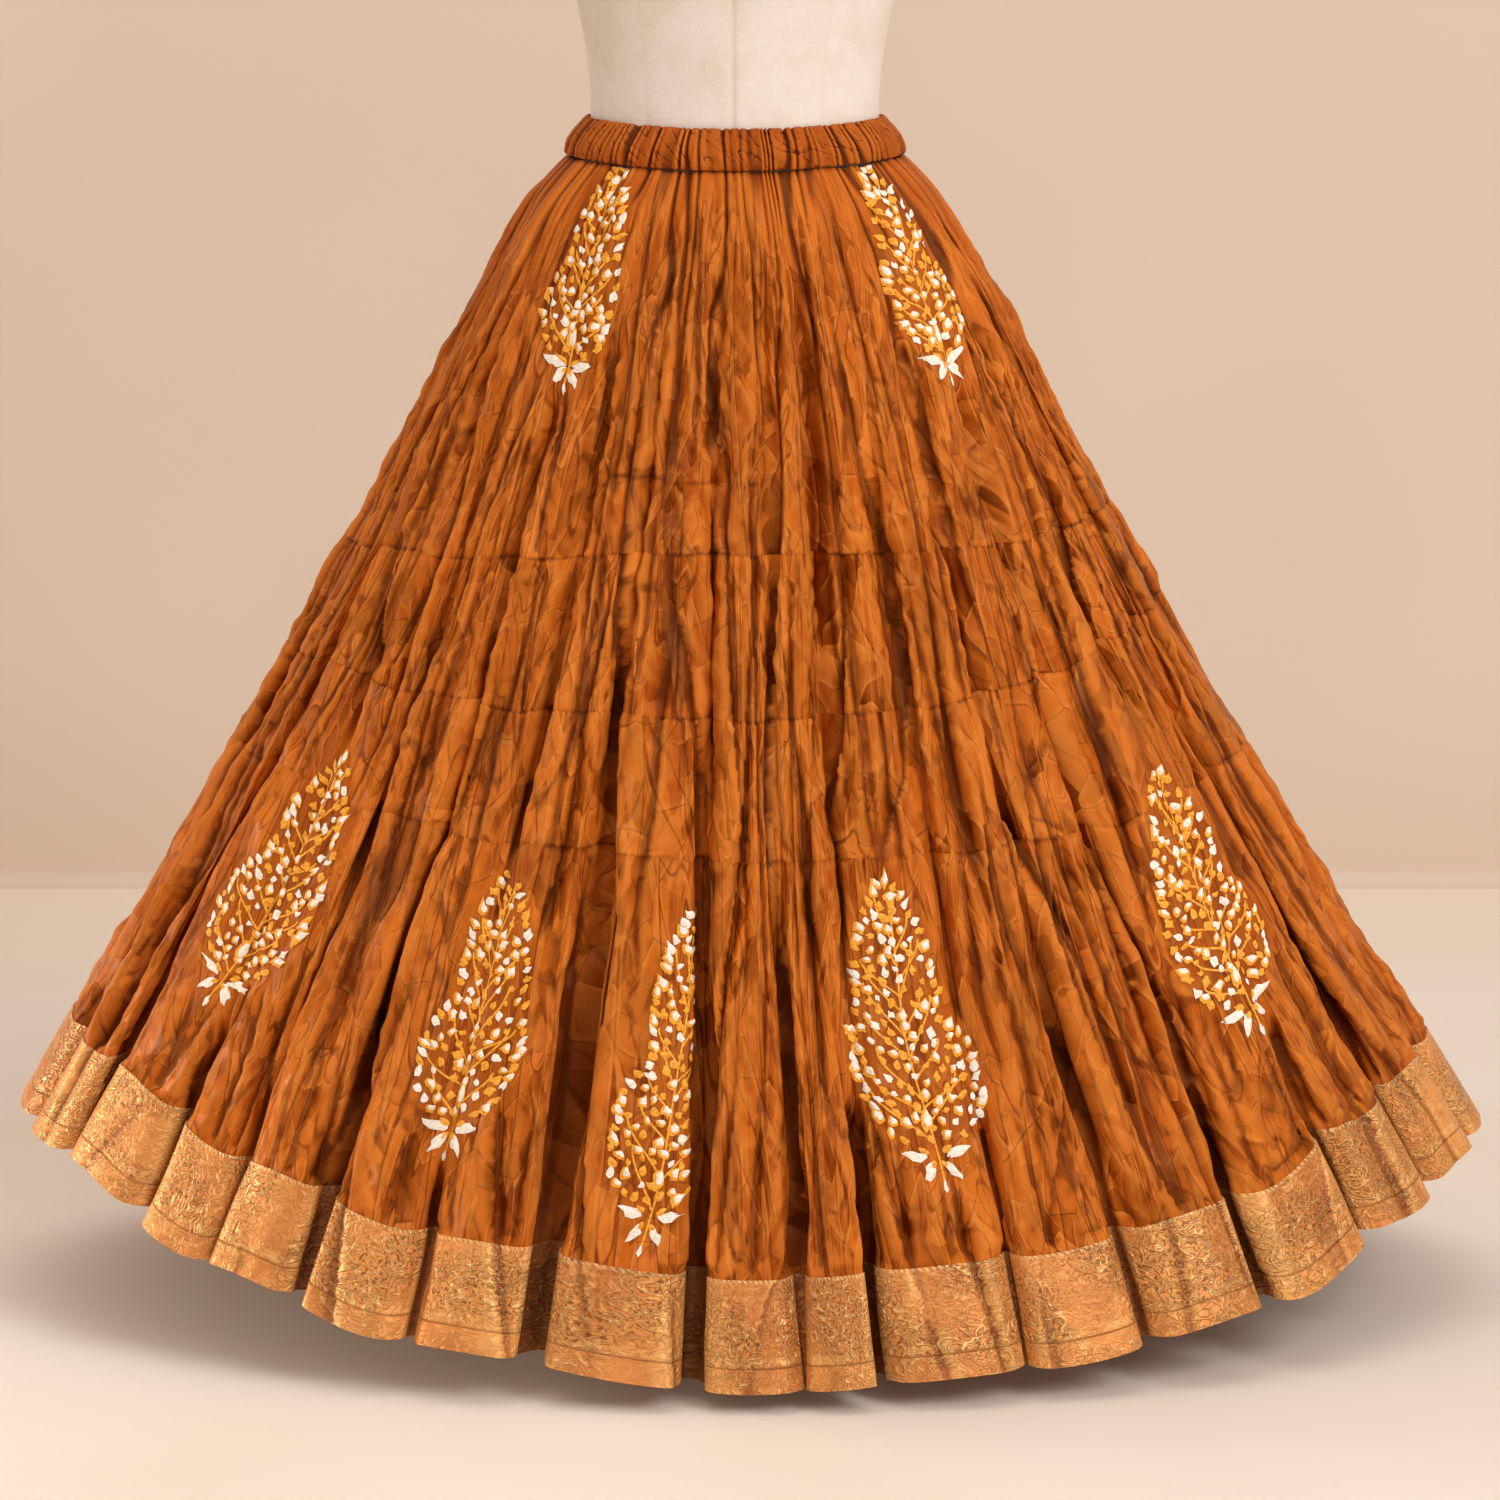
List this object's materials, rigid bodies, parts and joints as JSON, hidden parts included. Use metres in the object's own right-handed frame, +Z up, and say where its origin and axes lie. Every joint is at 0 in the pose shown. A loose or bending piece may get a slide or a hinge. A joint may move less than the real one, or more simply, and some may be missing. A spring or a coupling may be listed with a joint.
{
  "type": "lehenga skirt on a dress form",
  "caption": "Full gathered floor-length skirt with an elastic waistband, level tier seams and a woven border, on a limbless dress form with a pole and a round foot.",
  "frame": {"origin": "centre of the round foot's underside, on the floor", "axes": "+Z up along the pole, -Y towards the front of the skirt, +X to the viewer's right when looking at the front"},
  "size_m": [1.2451, 0.8128, 1.5123],
  "materials": {
    "skirt_cloth": "crinkled rust cotton-silk with block-printed leaf paisleys",
    "border_brocade": "copper and gold woven brocade",
    "form_linen": "cream linen cover",
    "form_wood": "pale satin wood",
    "stand_steel": "satin"
  },
  "bodies": {
    "root": {"waistband": "skirt_cloth", "tier_1": "skirt_cloth", "tier_2": "skirt_cloth", "tier_3": "skirt_cloth", "tier_4": "skirt_cloth", "hem_border": "border_brocade", "form_torso": "form_linen", "form_neck_cap": "form_wood", "stand_pole": "stand_steel", "stand_foot": "stand_steel"}
  },
  "joints": []
}
